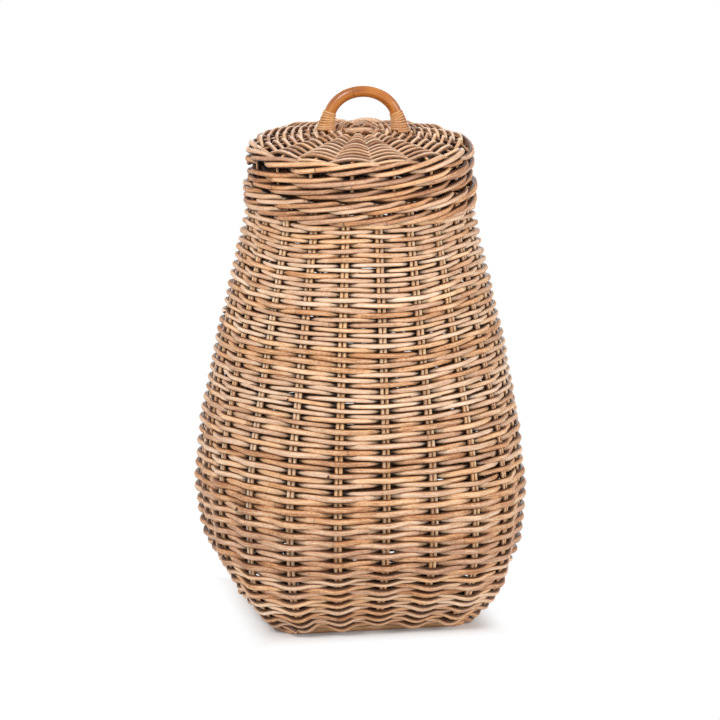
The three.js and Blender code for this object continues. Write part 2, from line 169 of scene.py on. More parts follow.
# rattan with its skin on. Scales are noise per metre along and per turn round, ring edges are in metres,
# and a pair that ends in From is where something starts to show and where it shows fully
rattanSkin = dict(
    patchScale=9, fibreScale=(30, 9), speckScale=(260, 22), hueScale=3.2, ringScale=2.1,
    toneShare=0.4, patchShare=0.6, fibreShare=1.1, speckShare=1.15, darker=0.02,
    stops=(0.14, 0.38, 0.6, 0.86),
    gold=(255, 226, 176), goldFrom=(0.45, 0.65), goldShare=0.5,
    pinkGrey=(206, 172, 154), pinkFrom=(0.55, 0.38), pinkShare=0.22,
    ringColour=(74, 42, 26), ringEdge=(0.0016, 0.0003), ringRagged=0.0012, ringWander=1.6, ringFaint=0.15,
    ringChance=(0.3, 0.95), bark=(190, 128, 72), barkShare=0.5, barkStart=(0.5, 0.505), barkEnd=(0.7, 0.52),
    fleck=(128, 84, 54), fleckFrom=(0.58, 0.72), fleckShare=0.5,
    # painted shade for what lies inside the weave: its colour, the depths over which it sets in, and how much
    # less the inner side gets
    insideShade=(30, 9, 3), insideShadeFrom=(0.14, -0.14), withinFrom=(0.3, 0.42), lessShadeWithin=0.75,
    # painted shade on the sides of each strand, and darker painted shade where strands meet
    flankShade=(252, 224, 198), flankShadeFrom=(0.03, 0.14), touch=(34, 10, 4), touchFrom=(0.104, 0.174),
    underFrom=(0.44, 0.56), roughFrom=(0.25, 0.75), roughSpread=(-0.12, 0.13), gloss=0.5,
    bump=0.3, bumpDepth=0.0007,
    fibreHeight=0.6, speckHeight=0.3, ringHeight=0.7,
)


# ring is how strong the rings are, shade how much painted shade darkens what lies inside the weave, crease
# how much painted shade darkens the sides where strands meet, and lean how much more of that painted shade
# lies on a strand's lower side
def rattanLook(name, dark, mid, light, pale, ringEvery=0.26, ring=0.7, roughness=0.55,
               shade=0.95, creaseShade=0.0, lean=0.0):
    skin = rattanSkin
    look = Look(bpy.data.materials.new(name))
    along, around = look.strandMap()
    tone = look.add("ShaderNodeAttribute", {"attribute_name": "tone"}, out=2)
    face = look.add("ShaderNodeAttribute", {"attribute_name": "face"}, out=2)

    # long patches, fibres and specks; a strand's tone picks its own stretch of every noise
    patch = look.noise(along * skin["patchScale"], tone * 41, 3.1, detail=3.0, rough=0.6)
    fibre = look.noise(along * skin["fibreScale"][0] + tone * 90, around * skin["fibreScale"][1], tone * 13,
                       detail=3.0, rough=0.62)
    speck = look.noise(along * skin["speckScale"][0], around * skin["speckScale"][1], tone * 29,
                       detail=3.0, rough=0.65)
    level = (tone * skin["toneShare"] + patch * skin["patchShare"] + (fibre - 0.5) * skin["fibreShare"]
             + (speck - 0.5) * skin["speckShare"] - skin["darker"])
    body = look.ramp(level, skin["stops"], (dark, mid, light, pale))

    # some strands lean to gold and some to pink-grey
    hue = look.noise(tone * 77, along * skin["hueScale"], 8.4, detail=1.0)
    golden = look.smooth(hue, *skin["goldFrom"], 0.0, skin["goldShare"])
    body = look.mix(golden, body, paint(*skin["gold"]), "MULTIPLY")
    pinkish = look.smooth(hue, *skin["pinkFrom"], 0.0, skin["pinkShare"])
    body = look.mix(pinkish, body, paint(*skin["pinkGrey"]))

    # rings where leaves grew: a dark line, strong or faint, and a stretch of orange skin after it
    wander = look.noise(along * skin["ringScale"], tone * 63, 1.7, detail=0.0)
    count = along / ringEvery + tone * 17 + wander * skin["ringWander"]
    place = count % 1
    cell = look.add("ShaderNodeCombineXYZ", {}, {0: count - place, 1: tone * 61, 2: 0.5})
    chance = look.add("ShaderNodeTexWhiteNoise", {"noise_dimensions": "3D"}, {"Vector": cell})
    strength = look.smooth(chance, *skin["ringChance"], skin["ringFaint"], 1.0)
    fromRing = abs(place - 0.5) * ringEvery + (fibre - 0.5) * skin["ringRagged"]
    line = look.smooth(fromRing, *skin["ringEdge"]) * strength
    after = look.smooth(place, *skin["barkStart"]) * look.smooth(place, *skin["barkEnd"]) * strength
    body = look.mix(after * skin["barkShare"], body, paint(*skin["bark"]))
    body = look.mix(line * ring, body, paint(*skin["ringColour"]))
    flecked = look.smooth(speck, *skin["fleckFrom"], 0.0, skin["fleckShare"])
    body = look.mix(flecked, body, paint(*skin["fleck"]))

    # painted shade darkens what lies inside the weave, where shade falls, with less of it on the side that is
    # seen from within
    within = look.smooth(abs(around - 0.5), *skin["withinFrom"])
    deepShade = look.smooth(face, *skin["insideShadeFrom"], 0.0, shade) * (1 - skin["lessShadeWithin"] * within)
    body = look.mix(deepShade, body, paint(*skin["insideShade"]), "MULTIPLY")

    # painted shade darkens the sides of each strand too, most of all where strands meet and on a strand's
    # lower side
    aside = 0.25 - abs(abs(around - 0.5) - 0.25)
    body = look.mix(look.smooth(aside, *skin["flankShadeFrom"]), body, paint(*skin["flankShade"]), "MULTIPLY")
    under = look.smooth(around, *skin["underFrom"], 1 - lean, 1.0)
    touchShadeMask = look.smooth(aside, *skin["touchFrom"], 0.0, creaseShade) * under
    body = look.mix(touchShadeMask, body, paint(*skin["touch"]), "MULTIPLY")

    height = fibre * skin["fibreHeight"] + speck * skin["speckHeight"] + (1 - line) * skin["ringHeight"]
    normal = look.add("ShaderNodeBump", {},
                      {"Strength": skin["bump"], "Distance": skin["bumpDepth"], "Height": height})
    smoother, rougher = (roughness + spread for spread in skin["roughSpread"])
    look.join(look.shader, {
        "Base Color": body, "Normal": normal, "Specular IOR Level": skin["gloss"],
        "Roughness": look.smooth(fibre, *skin["roughFrom"], smoother, rougher),
    })
    return look.owner


# shade, crease and lean set how much painted shade each rattan gets
weaverRattan = dict(dark=(157, 109, 74), mid=(205, 164, 128), light=(229, 198, 167), pale=(246, 226, 203),
                    ring=0.5, creaseShade=0.98, lean=0.16)
lidRattan = dict(dark=(144, 101, 74), mid=(206, 166, 134), light=(232, 201, 172), pale=(251, 232, 212),
                 ring=0.5, creaseShade=0.62)
# the stakes' rattan is the rods' rattan painted paler, a painted light that makes up for the shade the
# strands cast on them
stakeRattanPaintedPale = dict(dark=(200, 152, 110), mid=(240, 205, 166), light=(250, 226, 194), pale=(255, 242, 222),
                   ringEvery=0.3, shade=0.85, creaseShade=0.4)
rodRattan = dict(dark=(166, 116, 76), mid=(214, 168, 124), light=(234, 196, 154), pale=(248, 222, 190),
                 ringEvery=0.3, shade=0.85, creaseShade=0.75)
thickRattan = dict(dark=(142, 94, 61), mid=(196, 149, 111), light=(224, 186, 150), pale=(244, 217, 188),
                   ringEvery=0.14, creaseShade=0.97, lean=0.1)
poleRattan = dict(dark=(160, 108, 66), mid=(208, 160, 112), light=(230, 186, 140), pale=(242, 206, 164),
                  ringEvery=0.2)
weaverLook = rattanLook("weaverRattan", **weaverRattan)
lidLook = rattanLook("lidRattan", **lidRattan)
stakeLook = rattanLook("stakeRattanPaintedPale", **stakeRattanPaintedPale)
rodLook = rattanLook("rodRattan", **rodRattan)
thickLook = rattanLook("thickRattan", **thickRattan)
poleLook = rattanLook("poleRattan", **poleRattan)
print("rattan mixed")

# helpers for strands
anyAngle = (0, 6.3)  # a random start, anywhere in a turn
weaveDepth = 0.008  # this far off the weave's middle surface, a point counts as wholly outside
littleWay = 0.001  # a step along a line, to find which way it goes


def unit(vectors):
    return vectors / np.maximum(np.linalg.norm(vectors, axis=-1, keepdims=True), 1e-12)


def paceOf(path):  # the way walked along a path, at each of its points
    return np.concatenate([[0], np.cumsum(np.linalg.norm(np.diff(path, axis=0), axis=1))])


def girthOf(rings):
    middle = rings[len(rings) // 2]
    return np.linalg.norm(np.diff(middle, axis=0), axis=1).sum()


def fade(distance, over):  # 1 at an end, sinking to 0 over some distance
    return np.clip(1 - distance / over, 0, 1)


def waves(x, rng, count=4, slow=0.7, fast=2.6, gain=1.4):  # smooth wandering between about -1 and 1
    parts = [np.sin(x * rng.uniform(slow, fast) + rng.uniform(*anyAngle)) for _ in range(count)]
    return sum(parts) / count * gain


def smoothLine(x, xs, ys):  # a curve through points that never overshoots them
    xs, ys = np.asarray(xs, float), np.asarray(ys, float)
    step = np.diff(xs)
    slope = np.diff(ys) / step
    before, after = slope[:-1], slope[1:]
    inner = np.where(before * after > 0, 2 * before * after / (before + after + 1e-12), 0)
    tangent = np.concatenate([slope[:1], inner, slope[-1:]])
    i = np.clip(np.searchsorted(xs, x) - 1, 0, len(step) - 1)
    t = (x - xs[i]) / step[i]
    return ((1 + 2 * t) * (1 - t) ** 2 * ys[i] + t * (1 - t) ** 2 * step[i] * tangent[i]
            + t * t * (3 - 2 * t) * ys[i + 1] + t * t * (t - 1) * step[i] * tangent[i + 1])


# directions on a woven surface: from upright to upright, and out of it
def acrossOf(surface, upright, place, aside=0.02):
    return unit(surface(upright + aside, place) - surface(upright - aside, place))


def outwardOf(surface, upright, place, above=0.0008):
    upward = surface(upright, place + above) - surface(upright, place - above)
    return unit(np.cross(acrossOf(surface, upright, place), upward))


# one strand: rings of points round a middle line, the first point of each ring on its hidden inner side.
# offset is how far the middle line stands off the weave's middle surface
def strandOf(path, outward, radius, sides=8, flat=1.0, tone=0.5, offset=None):
    tangent = unit(np.gradient(path, axis=0))
    normal = unit(outward - tangent * (outward * tangent).sum(1)[:, None])
    across = np.cross(tangent, normal)
    turn = math.pi + 2 * math.pi * np.arange(sides) / sides
    radius = np.broadcast_to(radius, len(path))[:, None]
    spread = flat * np.cos(turn)[:, None] * normal[:, None] + np.sin(turn)[:, None] * across[:, None]
    face = np.ones((len(path), sides))
    if offset is not None:
        face = (offset[:, None] + radius * flat * np.cos(turn)) / weaveDepth
    return dict(rings=path[:, None] + radius[:, :, None] * spread, along=paceOf(path), tone=tone, face=face)


# the flat layout for baking: strands end to end on a tape that is cut into rows, each with its two cut ends.
# gap and shortest are in metres, the rest in girths of the thickest strand
bakeTape = dict(gap=0.002, shortest=0.02, spare=1.15, cutPlaces=(0.25, 0.65), cutRadius=0.12)
cutPaler = 0.15  # added to a strand's tone at its cut ends


# strands joined into one piece, with a map along each strand and the flat layout
def pieceOf(name, strands, material, body, nodes):
    gap, cutRadius = bakeTape["gap"], bakeTape["cutRadius"]
    girth = max(girthOf(strand["rings"]) for strand in strands) * bakeTape["spare"]
    rowHeight = girth + gap
    tape = sum(strand["along"][-1] + girth for strand in strands)
    rowLength = max(math.sqrt(tape * rowHeight), bakeTape["shortest"])
    verts, faces, maps, bakes, tones, depths = [], [], [], [], [], []
    start, base = 0.0, 0

    def onTape(place, across, row):
        return place - row * rowLength + gap, row * rowHeight + across * girth + gap / 2

    for strand in strands:
        rings, along = strand["rings"], strand["along"]
        count, sides = rings.shape[:2]
        verts.append(rings.reshape(-1, 3))
        tones.append(np.full(count * sides, strand["tone"]))
        depths.append(strand["face"].ravel())
        i, j = np.meshgrid(np.arange(count - 1), np.arange(sides), indexing="ij")
        near, far, beside = i * sides, (i + 1) * sides, (j + 1) % sides
        quads = np.stack([near + j, near + beside, far + beside, far + j], -1)
        faces.extend((quads.reshape(-1, 4) + base).tolist())
        a, b = along[i], along[i + 1]
        v, w = j / sides, (j + 1) / sides
        maps.append(np.stack([a, v, a, w, b, w, b, v], -1).reshape(-1, 2))
        row = np.floor((start + a) / rowLength)
        corners = [onTape(start + p, q, row) for p, q in ((a, v), (a, w), (b, w), (b, v))]
        bakes.append(np.stack([c for corner in corners for c in corner], -1).reshape(-1, 2))
        base += count * sides
        # cut ends, with their own points so that the rim of the cut stays sharp
        for end, cutPlace in zip((0, count - 1), bakeTape["cutPlaces"]):
            verts.append(rings[end])
            tones.append(np.full(sides, min(strand["tone"] + cutPaler, 1.0)))
            depths.append(np.full(sides, strand["face"][end].mean()))
            order = np.arange(sides) if end else np.arange(sides)[::-1]
            faces.append((base + order).tolist())
            maps.append(np.stack([np.full(sides, along[end]), order / sides], 1))
            where = start + along[-1] + cutPlace * girth
            angle = 2 * math.pi * order / sides
            disc = onTape(where + cutRadius * girth * np.cos(angle), 0.5 + cutRadius * np.sin(angle),
                          np.floor(where / rowLength))
            bakes.append(np.stack(disc, 1))
            base += sides
        start += along[-1] + girth

    mesh = bpy.data.meshes.new(name)
    mesh.from_pydata(np.concatenate(verts).tolist(), [], faces)
    maps, bakes = np.concatenate(maps), np.concatenate(bakes)
    for key, values in dict(strand=maps, OFBake=bakes / (bakes.max(0) + gap)).items():
        layer = mesh.uv_layers.new(name=key)
        layer.uv.foreach_set("vector", values.astype(np.float32).ravel())
    for key, values in dict(tone=tones, face=depths).items():
        layer = mesh.attributes.new(key, "FLOAT", "POINT")
        layer.data.foreach_set("value", np.concatenate(values).astype(np.float32))
    mesh.polygons.foreach_set("use_smooth", np.array([len(face) == 4 for face in faces]))
    mesh.materials.append(material)
    piece = bpy.data.objects.new(name, mesh)
    scene.collection.objects.link(piece)
    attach(piece, body)
    if nodes:
        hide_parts(*nodes)


# the wall's middle surface, as in the solids. A knot is a height, a half-width and the share of it that is
# round corner; the knots between are shares of the way up and of the way out, and a roundness.
# footKnots is how many of the lowest knots the weave's own foot stands for
wallShape = dict(
    stakes=21, turn=0.71, rod=0.0046, top=0.565, flare=0.002, soften=0.008,
    foot=(0.0123, 0.1145, 0.18), belly=(0.168, 0.200, 0.85), neck=(0.526, 0.1385, 0.999),
    toBelly=((0.02, 0.15, 0.24), (0.06, 0.3, 0.33), (0.12, 0.4, 0.4), (0.28, 0.59, 0.46), (0.58, 0.9, 0.78)),
    toNeck=((0.23, 0.09, 0.9), (0.49, 0.32, 0.999)),
    weaveFoot=(0.004, 0.1225, 0.34), footKnots=3,
)


def knotsBetween(low, high, shares):
    return [(low[0] + up * (high[0] - low[0]), low[1] + out * (high[1] - low[1]), roundness)
            for up, out, roundness in shares]


def knotsUpWall():
    foot, belly, neck = wallShape["foot"], wallShape["belly"], wallShape["neck"]
    mouth = (wallShape["top"], neck[1] + wallShape["flare"], neck[2])
    return np.array([foot, *knotsBetween(foot, belly, wallShape["toBelly"]), belly,
                     *knotsBetween(belly, neck, wallShape["toNeck"]), neck, mouth])


# the stakes bend out from the hoop; the strands go straight on down, outside it
stakeKnots = knotsUpWall()
weaveKnots = np.array([wallShape["weaveFoot"], *stakeKnots[wallShape["footKnots"]:]])


def wallLine(height, column, knots):  # straight between the knots, and a little softened at them
    near = np.clip(height - knots[0, 0], 0, wallShape["soften"])
    line = [np.interp(height + step * near, knots[:, 0], knots[:, column]) for step in (-1, 0, 0, 1)]
    return sum(line) / len(line)


# a point on a rounded square, walked at an even pace from the middle of the +X side
def squareAt(share, half, corner):
    flat, arc = half - corner, corner * math.pi / 2
    quarters = 4 * (share % 1)
    side = np.floor(quarters)
    along = (quarters - side) * (2 * flat + arc)
    angle = np.clip((along - flat) / corner, 0, math.pi / 2)
    x = np.where(along < flat + arc, flat + corner * np.cos(angle), 2 * flat + arc - along)
    y = np.where(along < flat, along, flat + corner * np.sin(angle))
    turn = side * math.pi / 2
    return x * np.cos(turn) - y * np.sin(turn), x * np.sin(turn) + y * np.cos(turn)


def wallAt(upright, height, knots=weaveKnots):
    half = wallLine(height, 1, knots)
    share = (upright + wallShape["turn"]) / wallShape["stakes"]
    x, y = squareAt(share, half, half * wallLine(height, 2, knots))
    return np.stack([x, y, height + 0 * x], -1)


def stakeAt(upright, height):
    return wallAt(upright, height, stakeKnots)


# wall weave: one strand after another, wound in and out of the stakes from the foot to the neck.
# Ends are counted in stakes; a bow is a size, waves per turn and a drift with height
wallWeave = dict(
    low=0.0095, high=0.5365, samples=400, pieces=8, cuts=10, sides=8, seed=5,
    pitchAt=(0.0, 0.05, 0.11, 0.22, 0.31, 0.56),
    pitch=(0.0062, 0.0063, 0.0072, 0.0074, 0.0064, 0.0060),  # rows are coarser on the belly
    length=(1.2, 2.7), shortest=10, roundabout=1.03, bulge=2.3, uneven=0.06,
    fill=1.15, snug=0.13, thickness=(0.84, 1.15), lumps=0.09, lumpy=5,
    tuck=0.36, lap=0.3, lapOver=0.7, thinEnd=0.35, thinOver=0.3,
    looseEnds=0.45, stickOut=0.8, spring=0.8, springOver=0.5,
    bows=((0.0020, 2, 9), (0.0014, 5, -12)), wander=0.0013,
    dip=0.0022, dipFade=0.05, dipWaves=3, dipVaries=0.5, cornerDip=0.004, cornerWidth=0.12, offFloor=0.0005,
    toneSpread=0.8, paler=0.36, palerFrom=0.25, palerOver=0.25,
)


def rowsUpWall():  # how many turns lie below each height
    heights = np.linspace(wallWeave["low"], wallWeave["high"], wallWeave["samples"])
    half = wallLine(heights, 1, weaveKnots)
    pitch = smoothLine(heights, wallWeave["pitchAt"], wallWeave["pitch"])
    turns = np.concatenate([[0], np.cumsum(np.hypot(np.diff(heights), np.diff(half)) / pitch[1:])])
    return turns, heights


def wallStrand(first, last, turns, heights, bend, rng):
    weave, stakes = wallWeave, wallShape["stakes"]
    # a strand starts and ends behind a stake, beside its neighbour; some ends stick out in front
    loose = rng.uniform() < weave["looseEnds"]
    beyond = weave["stickOut"] if loose else weave["tuck"]
    start, stop = round((first - weave["tuck"]) * weave["cuts"]), round((last + beyond) * weave["cuts"])
    upright = np.arange(start, stop + 1) / weave["cuts"]
    fromStart, toEnd = upright - upright[0], upright[-1] - upright
    angle = 2 * math.pi * upright / stakes
    height = np.interp(upright / stakes, turns, heights)
    row = smoothLine(height, weave["pitchAt"], weave["pitch"])

    # rows bow a little together, wander alone, dip at stakes and corners near the foot, and lap at their ends
    bows = [size * np.sin(perTurn * angle + phase + drift * height)
            for (size, perTurn, drift), phase in zip(weave["bows"], bend)]
    height = height + sum(bows) + weave["wander"] * waves(upright, rng)
    nearFoot = np.exp(-(height - weave["low"]) / weave["dipFade"])
    quarter = (4 * (upright + wallShape["turn"]) / stakes) % 1
    corner = np.exp(-((quarter - 0.5) / weave["cornerWidth"]) ** 2)
    dip = weave["dip"] * np.cos(2 * math.pi * upright) + weave["cornerDip"] * corner
    varies = 1 + weave["dipVaries"] * np.sin(weave["dipWaves"] * angle + bend[2])
    height = height - nearFoot * varies * dip
    lap = fade(toEnd, weave["lapOver"]) - fade(fromStart, weave["lapOver"])
    height = height + row * weave["lap"] * lap

    thin = fade(fromStart, weave["thinOver"]) + (0 if loose else fade(toEnd, weave["thinOver"]))
    thick = row / 2 * weave["fill"] * (1 + weave["snug"] * nearFoot) * rng.uniform(*weave["thickness"])
    thick = thick * (1 + weave["lumps"] * waves(upright, rng, fast=weave["lumpy"]))
    thick = thick * (1 - weave["thinEnd"] * thin)
    swing = np.cos(math.pi * upright)
    swing = np.sign(swing) * np.abs(swing) ** weave["bulge"]
    offset = (wallShape["rod"] + row) / 2 * swing * (1 + weave["uneven"] * waves(upright, rng))
    if loose:
        offset = offset + row * weave["spring"] * fade(toEnd, weave["springOver"])

    outward = outwardOf(wallAt, upright, height)
    path = wallAt(upright, height) + outward * offset[:, None]
    path[:, 2] = np.maximum(path[:, 2], thick + weave["offFloor"])
    level = np.interp(first / stakes, turns, heights)
    # paler towards the neck
    paler = weave["paler"] * np.clip((level - weave["palerFrom"]) / weave["palerOver"], 0, 1)
    tone = weave["toneSpread"] * rng.uniform() + paler
    return strandOf(path, outward, thick, weave["sides"], tone=tone, offset=offset)


def wallWeavers():
    rng = np.random.default_rng(wallWeave["seed"])
    stakes, pieces = wallShape["stakes"], wallWeave["pieces"]
    turns, heights = rowsUpWall()
    bend = rng.uniform(*anyAngle, 4)  # for the bows and the dips, and one to spare
    ends = [2 * round(turns[-1] * stakes * part / pieces / 2) + 1 for part in range(pieces + 1)]
    for part, (place, last) in enumerate(zip(ends[:-1], ends[1:]), 1):
        strands = []
        while place < last:
            half = float(wallLine(np.interp(place / stakes, turns, heights), 1, weaveKnots))
            spacing = 2 * math.pi * half * wallWeave["roundabout"] / stakes
            stop = min(place + 2 * round(rng.uniform(*wallWeave["length"]) / spacing / 2), last)
            if last - stop < wallWeave["shortest"]:
                stop = last
            strands.append(wallStrand(place, stop, turns, heights, bend, rng))
            place = stop
        pieceOf(f"wallStrand.{part}", strands, weaverLook, "basket", [f"wall_weaver_{part}"])


wallWeavers()
print("wall woven")

# stakes: two rods side by side, the second a little shorter
stakeRods = dict(low=0.0125, top=0.563, crowd=1.3, steps=70, sides=8, thickness=(1.1, 1.24), apart=0.6,
                 sway=0.0004, swayScale=30, shorter=0.003, shorterFrom=0.5, seed=11)


def wallStakes():
    rng = np.random.default_rng(stakeRods["seed"])
    share = np.linspace(0, 1, stakeRods["steps"]) ** stakeRods["crowd"]  # closer together near the foot
    height = stakeRods["low"] + (stakeRods["top"] - stakeRods["low"]) * share
    for stake in range(wallShape["stakes"]):
        upright = np.full(len(height), float(stake))
        outward = outwardOf(stakeAt, upright, height)
        across = acrossOf(stakeAt, upright, height)
        rods = []
        for side in (-1, 1):
            thick = wallShape["rod"] / 2 * rng.uniform(*stakeRods["thickness"])
            sway = stakeRods["sway"] * waves(height * stakeRods["swayScale"], rng)
            sway = side * wallShape["rod"] * stakeRods["apart"] + sway
            path = stakeAt(upright, height) + across * sway[:, None]
            path[:, 2] -= stakeRods["shorter"] * (side > 0) * (height > stakeRods["shorterFrom"])
            tone = rng.uniform()
            rods.append(strandOf(path, outward, thick, stakeRods["sides"], tone=tone, offset=0 * height))
        number = f"{stake + 1:02d}"
        pieceOf(f"stakePair.{number}", rods, stakeLook, "basket", [f"stake_{number}"])


wallStakes()
print("stakes set")

# borders: rounds of three thick strands, each rising in front of two uprights and dropping behind the third.
# shift is how many uprights further on a round starts than the one below it
borderStrands = dict(strand=0.0077, slope=0.0057, lead=0.1, thickness=(0.9, 1.06), lumps=0.06, lumpy=3,
                     uneven=0.0005, wander=0.0006, slowest=0.3, fastest=1.3, blur=2, sides=12)
rimBorder = dict(first=0.5425, step=0.0156, shift=5, cuts=12, seed=3)
lidBorder = dict(first=0.0083, step=0.0157, shift=7, cuts=14, seed=8)


def borderRound(surface, count, rod, middle, turnOn, cuts, rng):
    spec = borderStrands
    strands = []
    for first in range(turnOn, turnOn + 3):
        upright = np.arange(first * cuts, (first + count) * cuts + 1) / cuts
        phase = (upright - first - spec["lead"]) % 3
        behind = np.cos(np.clip(np.minimum(phase, 3 - phase), 0, 1) * math.pi / 2) ** 2
        # the drop takes one space between uprights, the rise two
        drop = (phase + 0.5) % 3
        rise = np.where(drop < 1, np.cos(math.pi * drop), drop - 2)
        blur = np.ones(2 * spec["blur"] + 1)
        rise = np.convolve(np.pad(rise, spec["blur"], mode="edge"), blur / len(blur), "valid")
        wander = spec["wander"] * waves(upright, rng, slow=spec["slowest"], fast=spec["fastest"])
        place = middle + spec["slope"] * rise + wander
        thick = spec["strand"] / 2 * rng.uniform(*spec["thickness"])
        thick = thick * (1 + spec["lumps"] * waves(upright, rng, fast=spec["lumpy"]))
        offset = (rod + spec["strand"]) / 2 * (1 - 2 * behind) + spec["uneven"] * waves(upright, rng)
        outward = outwardOf(surface, upright, place)
        path = surface(upright, place) + outward * offset[:, None]
        strands.append(strandOf(path, outward, thick, spec["sides"], tone=rng.uniform(), offset=offset))
    return strands


def borderPieces(name, surface, shape, uprights, border, body, nodes):
    rng = np.random.default_rng(border["seed"])
    for row, replaced in enumerate(nodes):
        middle = border["first"] + row * border["step"]
        turnOn = row * border["shift"]
        strands = borderRound(surface, shape[uprights], shape["rod"], middle, turnOn, border["cuts"], rng)
        pieceOf(f"{name}.{row + 1}", strands, thickLook, body, replaced)


borderPieces("rimRound", wallAt, wallShape, "stakes", rimBorder, "basket",
             (["rim_wale_1", "rim_wale_2"], ["rim_wale_3", "rim_wale_4"]))
print("rim bound")

# the lid's middle surface: up the edge, round the shoulder and over the crown.
# tuck is how far the edge draws in at the rim, cuts how many points each part has
lidShape = dict(rods=16, turn=math.radians(-3.4), rod=0.006, radius=0.136, seat=0.0006, edge=0.0476,
                tuck=0.004, shoulder=0.015, arc=(0.02, 1.4), rise=0.012, cuts=(20, 24, 60))
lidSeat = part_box("rim_wale_4")[1].z + lidShape["seat"]
shoulderLow = lidSeat + lidShape["edge"] - lidShape["shoulder"]
shoulderEnd = lidShape["radius"] - lidShape["shoulder"]
crownHeight = shoulderLow + lidShape["shoulder"] + lidShape["rise"]


def crownAt(radius):
    return crownHeight - lidShape["rise"] * (radius / shoulderEnd) ** 2


def lidProfile():
    edgeCuts, arcCuts, crownCuts = lidShape["cuts"]
    drawnIn = lidShape["tuck"] * np.linspace(1, 0, edgeCuts) ** 2
    arc = np.linspace(*lidShape["arc"], arcCuts)
    crown = np.linspace(shoulderEnd, 0, crownCuts)
    radii = [lidShape["radius"] - drawnIn, shoulderEnd + lidShape["shoulder"] * np.cos(arc), crown]
    heights = [np.linspace(lidSeat, shoulderLow, edgeCuts), shoulderLow + lidShape["shoulder"] * np.sin(arc),
               crownAt(crown)]
    return np.concatenate(radii), np.concatenate(heights)


lidRadii, lidHeights = lidProfile()
lidReach = paceOf(np.stack([lidRadii, lidHeights], 1))


def reachAt(radius):  # the way up the profile to a place on the crown
    crownCuts = lidShape["cuts"][-1]
    return np.interp(-radius, -lidRadii[-crownCuts:], lidReach[-crownCuts:])


def lidAt(upright, reach):
    radius = np.interp(reach, lidReach, lidRadii)
    height = np.interp(reach, lidReach, lidHeights) + np.minimum(reach, 0)
    angle = (upright + 0.5) / lidShape["rods"] * 2 * math.pi + lidShape["turn"]
    return np.stack([radius * np.cos(angle), radius * np.sin(angle), height], -1)


# lid rods: two sets of four that cross at the middle, fan out and turn down into the edge
lidRods = dict(start=0.0015, inner=0.043, knots=40, step=0.0063, lift=0.0029, thickness=(0.92, 1.0),
               bendFrom=0.11, bendOut=2.5, depth=0.0015, steps=130, sides=8, seed=21)


def lidSpokes():
    rng = np.random.default_rng(lidRods["seed"])
    edge = np.linspace(lidRods["start"], reachAt(lidRods["inner"]), lidRods["knots"])
    for group, groupName in enumerate(("across", "along")):
        turn = group * math.pi / 2 + lidShape["turn"]
        level = crownHeight + lidRods["lift"] * (1 - 2 * group)
        for rod in range(4):
            fan = rod - 2
            near, far = [lidAt(np.full(len(edge), spoke + 4.0 * group), edge) for spoke in (fan, 7 - fan)]
            aside = (fan + 0.5) * lidRods["step"]
            middle = [[-math.sin(turn) * aside, math.cos(turn) * aside, level]]
            knots = np.concatenate([near, middle, far[::-1]])
            pace = paceOf(knots)
            walk = np.linspace(0, pace[-1], lidRods["steps"])
            path = np.stack([smoothLine(walk, pace, knots[:, axis]) for axis in range(3)], 1)
            # up over the crown, and outwards where the rod turns down
            bent = np.linalg.norm(path[:, :2], axis=1) > lidRods["bendFrom"]
            outward = unit([0, 0, 1.0] + lidRods["bendOut"] * unit(path * [1, 1, 0]) * bent[:, None])
            thick = lidShape["rod"] / 2 * rng.uniform(*lidRods["thickness"])
            strand = strandOf(path, outward, thick, lidRods["sides"], tone=rng.uniform(),
                              offset=0 * walk - lidRods["depth"])
            pieceOf(f"lidRod.{groupName}.{rod + 1}", [strand], rodLook, "lid",
                    [f"lid_rod_{groupName}_{rod + 1}"])


lidSpokes()
borderPieces("lidEdgeRound", lidAt, lidShape, "rods", lidBorder, "lid",
             (["lid_edge_wale_1", "lid_edge_wale_2"], ["lid_edge_wale_3", "lid_edge_wale_4"],
              ["lid_edge_wale_5"]))

# lid top: rows of thin strand, over the even rods and over the odd rods by turns
lidWeave = dict(row=0.0051, start=0.0468, inner=0.030, strand=0.0051, thickness=(0.92, 1.06), lumps=0.06,
                lumpy=4, tuck=0.3, step=0.5, stepPower=9, wander=0.0005, cuts=10, sides=8, seed=14)


def lidWeavers():
    rng = np.random.default_rng(lidWeave["seed"])
    rods, strand, tuck = lidShape["rods"], lidWeave["strand"], lidWeave["tuck"]
    rows = int((reachAt(lidWeave["inner"]) - lidWeave["start"]) / lidWeave["row"]) + 1
    strands = dict(even=[], odd=[])
    for row in range(rows):
        # each row starts and ends behind a rod, where its two ends lie side by side
        first = row + 1 + 2 * int(rng.integers(0, rods // 2))
        upright = np.arange(round((rods + 2 * tuck) * lidWeave["cuts"]) + 1) / lidWeave["cuts"]
        upright = first - tuck + upright
        shift = lidWeave["step"] * np.linspace(-1, 1, len(upright)) ** lidWeave["stepPower"]
        reach = lidWeave["start"] + lidWeave["row"] * (row + shift) + lidWeave["wander"] * waves(upright, rng)
        offset = (lidShape["rod"] + strand) / 2 * np.cos(math.pi * (upright - row))
        outward = outwardOf(lidAt, upright, reach)
        thick = strand / 2 * rng.uniform(*lidWeave["thickness"])
        thick = thick * (1 + lidWeave["lumps"] * waves(upright, rng, fast=lidWeave["lumpy"]))
        path = lidAt(upright, reach) + outward * offset[:, None]
        made = strandOf(path, outward, thick, lidWeave["sides"], tone=rng.uniform(), offset=offset)
        strands["odd" if row % 2 else "even"].append(made)
    for name, rowsOf in strands.items():
        pieceOf(f"lidStrand.{name}", rowsOf, lidLook, "lid", [f"lid_weaver_{name}"])


lidWeavers()

# centre of the lid: two rounds, each over two rods and under two by turns
lidCentre = dict(radii=(0.0205, 0.0252), strand=0.0048, reach=0.0062, bulge=0.7, wander=0.0004, closed=0.99,
                 steps=120, sides=8, seed=17)


def allUp(count):
    return np.tile([[0, 0, 1.0]], (count, 1))


